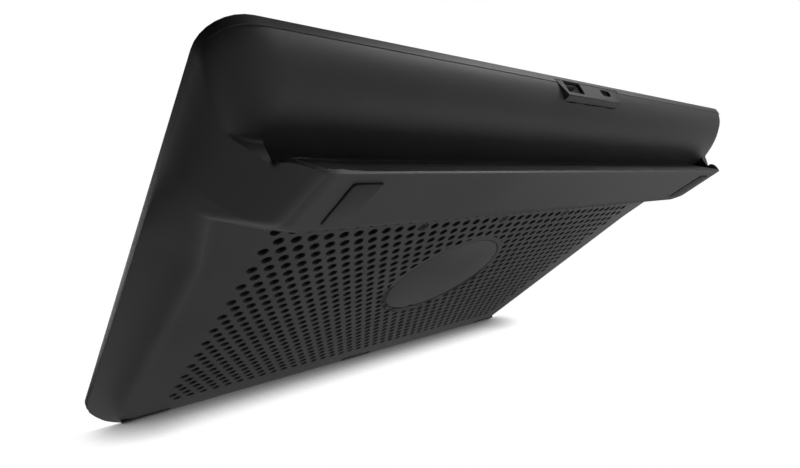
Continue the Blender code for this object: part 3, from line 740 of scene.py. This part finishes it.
def port_block(grow, inner, outer, chamfer=0.0):
    """The flat block round the sockets: it flares outwards towards the rim."""
    low, high = BEZEL["low"] - grow, BEZEL["high"] + grow
    rings = []
    for z, back in ((low, chamfer), (low + chamfer + 0.01, 0.0), (high, 0.0)):
        share = (z - BEZEL["low"]) / (BEZEL["high"] - BEZEL["low"])
        wide = BEZEL["half_width"] + grow + BEZEL["flare"] * share
        face = outer - back
        right = [(wide, inner), (wide, face - chamfer), (wide - 0.3 * chamfer, face - 0.3 * chamfer)]
        right.append((wide - chamfer, face))
        rings.append([(x, y, z) for x, y in right] + [(-x, y, z) for x, y in reversed(right)])
    return loft(rings)


# ---------------------------------------------------------------- top cover


def build_top_cover():
    def outline(inset):
        return rectangle(RIM_HALF_WIDTH, FRONT_RIM, REAR, CORNER_FRONT, CORNER_REAR, inset)

    def below_top(drop):
        return lambda y: top_height(y) - drop

    levels = (
        (WALL, below_top(COVER)),
        (WALL, below_top(SKIRT)),
        (0.1, below_top(SKIRT)),
        (0.0, below_top(SKIRT - 0.1)),
        (0.0, below_top(0.6)),
        (0.08, below_top(0.3)),
        (0.3, below_top(0.08)),
        (0.6, below_top(0.0)),
    )
    mesh = mesh_of([stack(outline, levels)])
    row_step = PITCH * math.sqrt(3) / 2
    holes = []
    for row in range(-14, 17):
        for column in range(-20, 21):
            x, y = (column + 0.5 * (row % 2)) * PITCH, row * row_step
            if abs(x) > 19.5 * PITCH or (y < -13 * PITCH and 56 < abs(x) < 124):
                continue
            if y < -105 or y > 121:
                continue
            holes.append(turned(((2.4, 5.0), (2.4, 40.0)), 12, (x, y)))
    mesh = combine(mesh, "DIFFERENCE", holes)
    cuts = [port_block(SEAM, REAR - 7.0, REAR + 5.0)]
    for side in (-1, 1):
        cuts.append(stop_piece(side, SEAM, ((0.0, lambda y: top_height(y) - STOP_POCKET), (0.0, 40.0))))
    mesh = combine(mesh, "DIFFERENCE", cuts)
    cover = new_object("cover_top", mesh, SHELL, sharp=30.0)
    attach(cover, "pad")
    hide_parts("top_cover")


# ---------------------------------------------------------------- feet, hub cover and ports


def add_piece(name, mesh, material, slot, *nodes, sharp=35.0):
    """A finished piece that rides on the pad and stands for CAD nodes."""
    piece = new_object(name, mesh, material, sharp)
    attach(piece, "pad")
    if nodes:
        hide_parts(*nodes)
    return piece


def above_desk(height):
    return lambda y: desk_height(y) + height


def build_feet():
    for name, x in FRONT_FEET.items():
        rounding = ((1.7, 0.0), (1.0, 0.05), (0.4, 0.22), (0.1, 0.5), (0.0, 0.8))
        levels = [(inset, above_desk(height)) for inset, height in rounding]
        strip = foot_strip(x, 0.0, (*levels, (0.0, 1.0 - SEAM)))
        add_piece(f"foot_front_{name}", mesh_of([strip]), RUBBER, "foot_rubber", f"front_foot_{name}")
    for name, side in (("left", -1), ("right", 1)):
        levels = ((0.6, above_desk(0.0)), (0.2, above_desk(0.12)), (0.0, above_desk(0.4)))
        pad = rear_pad_piece(side, 0.0, (*levels, (0.0, lambda y: foot_bottom(y) + PAD_POCKET - SEAM)))
        add_piece(f"pad_rear_{name}", mesh_of([pad]), RUBBER, "foot_rubber", f"rear_pad_{name}")
        build_stop(name, side)


def build_stop(name, side):
    def over_top(height):
        return lambda y: top_height(y) + height

    high = STOP["height"]
    levels = ((0.0, SEAM - STOP_POCKET), (0.0, high - 1.2), (0.25, high - 0.6), (0.8, high - 0.15), (1.6, high))
    mesh = mesh_of([stop_piece(side, 0.0, [(inset, over_top(z)) for inset, z in levels])])
    ribs = []
    for step in range(-5, 6):
        x, z = side * STOP["x"] + 4.5 * step, top_height(STOP["y"]) + high + 0.5
        ring = circle(0.8, 10, (x, z))
        ribs.append(loft([[(cx, y, cz) for cx, cz in ring] for y in (STOP["y"] - 6, STOP["y"] + 6)]))
    mesh = combine(mesh, "DIFFERENCE", ribs)
    add_piece(f"stop_laptop_{name}", mesh, RUBBER, "foot_rubber", f"laptop_stop_{name}")


def build_hub_cover():
    radius = HUB_COVER_RADIUS
    profile = ((radius - 0.5, 0.0), (radius - 0.15, 0.12), (radius, 0.45), (radius, 1.2))
    mesh = mesh_of([turned(profile, 128)])
    notch = box((-2.0, -radius - 1.0, -1.0), (2.0, -38.2, 2.0))
    mesh = combine(mesh, "DIFFERENCE", [notch])
    add_piece("cover_hub", mesh, SHELL, "shell_plastic", "hub_cover")


def socket_ring(spec, shrink, y):
    """One ring of a socket's shell, a rectangle with round corners in the X-Z plane."""
    half_x, half_z = spec["width"] / 2 - shrink, spec["height"] / 2 - shrink
    radius = max(spec["corner"] - shrink, 0.15)
    plan = rectangle(half_x, -half_z, half_z, radius, radius, 0.0, 4)
    return [(spec["x"] + x, y, spec["z"] + z) for x, z in plan]


def build_socket(name, spec, node):
    """A drawn metal cup: closed behind, with a rolled front edge."""
    front, back, wall = REAR - 1.3, REAR - 0.5 - spec["depth"], spec["wall"]
    stations = ((0.0, back), (0.0, front - 0.15), (0.12, front), (wall - 0.1, front), (wall, front - 0.2))
    rings = [socket_ring(spec, shrink, y) for shrink, y in stations]
    rings.append(socket_ring(spec, wall, back + 1.0))
    add_piece(name, mesh_of([loft(rings)]), STEEL, "steel", node)


def build_ports():
    block = port_block(0.0, REAR - 6.0, REAR, 0.35)
    mesh = mesh_of([block])
    posts = []
    for x, z in BOARD_SCREWS:
        posts.append(box((x - 2.4, BOARD_Y + 1.9, z - 2.4), (x + 2.4, REAR - 5.2, z + 2.4)))
    mesh = combine(mesh, "UNION", posts)
    mouths = []
    for spec in (USB_A, MICRO_USB):
        rings = [socket_ring(spec, -SEAM, REAR - 7.0), socket_ring(spec, -SEAM, REAR - 0.25)]
        rings += [socket_ring(spec, -SEAM - 0.3, REAR + 0.05), socket_ring(spec, -SEAM - 0.3, REAR + 1.0)]
        mouths.append(loft(rings))
    for x, z in BOARD_SCREWS:
        bore = circle(1.3, 16, (x, z))
        mouths.append(loft([[(cx, y, cz) for cx, cz in bore] for y in (BOARD_Y + 1.0, REAR - 6.0)]))
    mesh = combine(mesh, "DIFFERENCE", mouths)
    # The port block wears the darker shell copy, whose colour carries painted shade
    add_piece("bezel_ports", mesh, SHELL_COPY_WITH_PAINTED_SHADE, "shell_plastic", "port_bezel", sharp=30.0)
    build_socket("socket_usb_a", USB_A, "usb_a_shell")
    build_socket("socket_micro_usb", MICRO_USB, "micro_usb_shell")
    contacts = []
    for x in (-3.5, -1.0, 1.0, 3.5):
        low = (USB_A["x"] + x - 0.55, REAR - 12.0, USB_A["z"] - 2.1)
        contacts.append(box(low, (USB_A["x"] + x + 0.55, REAR - 2.9, USB_A["z"] - 1.86)))
    add_piece("contacts_usb_a", mesh_of(contacts), GOLD, "steel")
    contacts = []
    for x in (-1.3, -0.65, 0.0, 0.65, 1.3):
        low = (MICRO_USB["x"] + x - 0.18, REAR - 4.6, MICRO_USB["z"] - 0.4)
        contacts.append(box(low, (MICRO_USB["x"] + x + 0.18, REAR - 1.9, MICRO_USB["z"] - 0.28)))
    add_piece("contacts_micro_usb", mesh_of(contacts), GOLD, "steel")


# ---------------------------------------------------------------- assembly

make_camera()
make_world()
make_stage()
make_backdrop()
for lamp in LIGHTS:
    soft_light(*lamp)
dress_cad_nodes()
build_lower_shell()
build_top_cover()
build_feet()
build_hub_cover()
build_ports()
